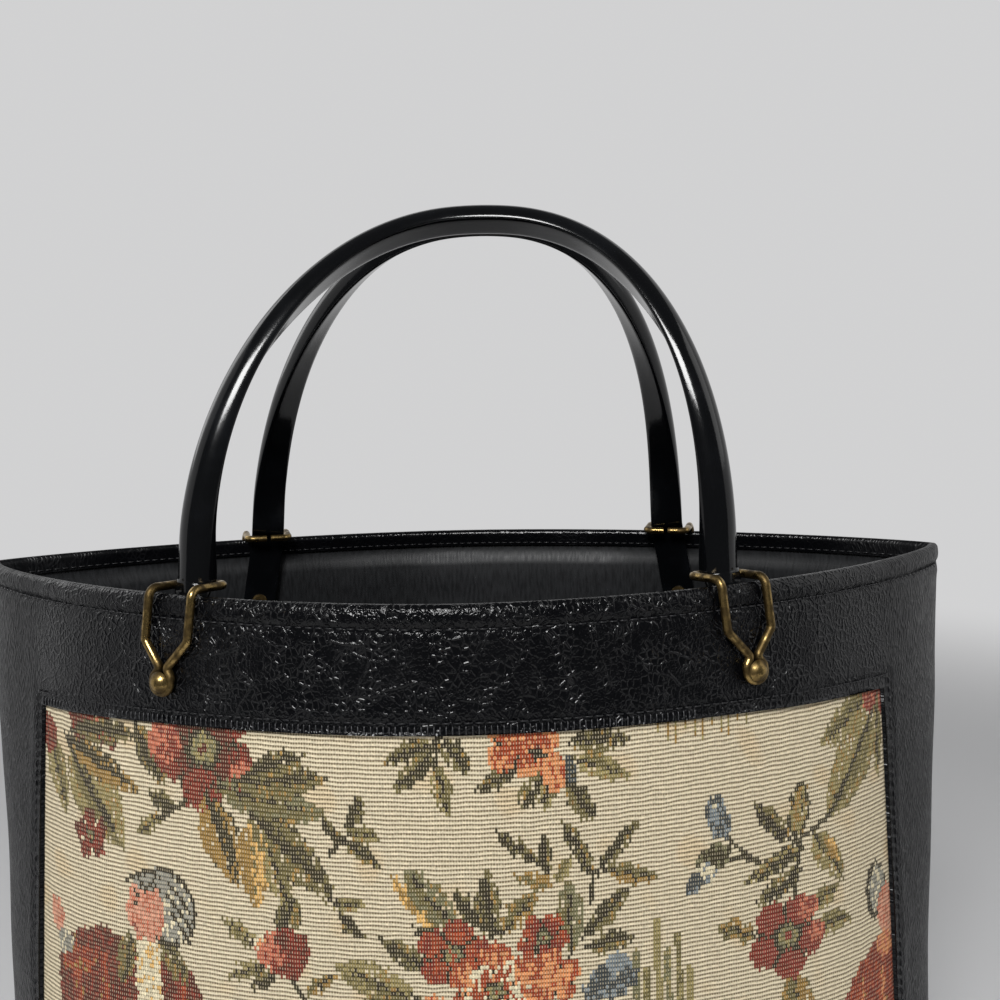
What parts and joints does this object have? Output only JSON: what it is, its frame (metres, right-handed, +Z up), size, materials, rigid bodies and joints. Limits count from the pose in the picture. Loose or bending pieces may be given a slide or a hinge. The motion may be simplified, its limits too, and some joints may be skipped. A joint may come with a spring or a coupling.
{
  "type": "tapestry handbag",
  "caption": "Soft open-topped handbag with a ribbed tapestry front framed in black grained vinyl, arched half-round handles and bent brass wire clips riveted at the rim.",
  "frame": {"origin": "middle of the bottom, on the floor", "axes": "+Z up, +X to the right along the rim as seen from the front, +Y from the tapestry face to the back"},
  "size_m": [0.374, 0.1672, 0.4272],
  "materials": {
    "vinyl": "crinkled grain, half gloss",
    "board": "raw board",
    "tapestry": "ribbed weave with flowers and leaves in brick red, olive, ochre and slate blue",
    "lining": "fine upright ribs",
    "handle": "smooth, worn to a soft gloss",
    "wire": "aged, darkened brass"
  },
  "bodies": {
    "root": {"front_vinyl": "vinyl", "back_vinyl": "vinyl", "base_vinyl": "vinyl", "base_board": "board", "tapestry_panel": "tapestry", "front_lining": "lining", "back_lining": "lining", "floor_lining": "lining", "front_handle": "handle", "back_handle": "handle", "front_left_clip": "wire", "front_right_clip": "wire", "back_left_clip": "wire", "back_right_clip": "wire", "rivets": "wire"}
  },
  "joints": []
}
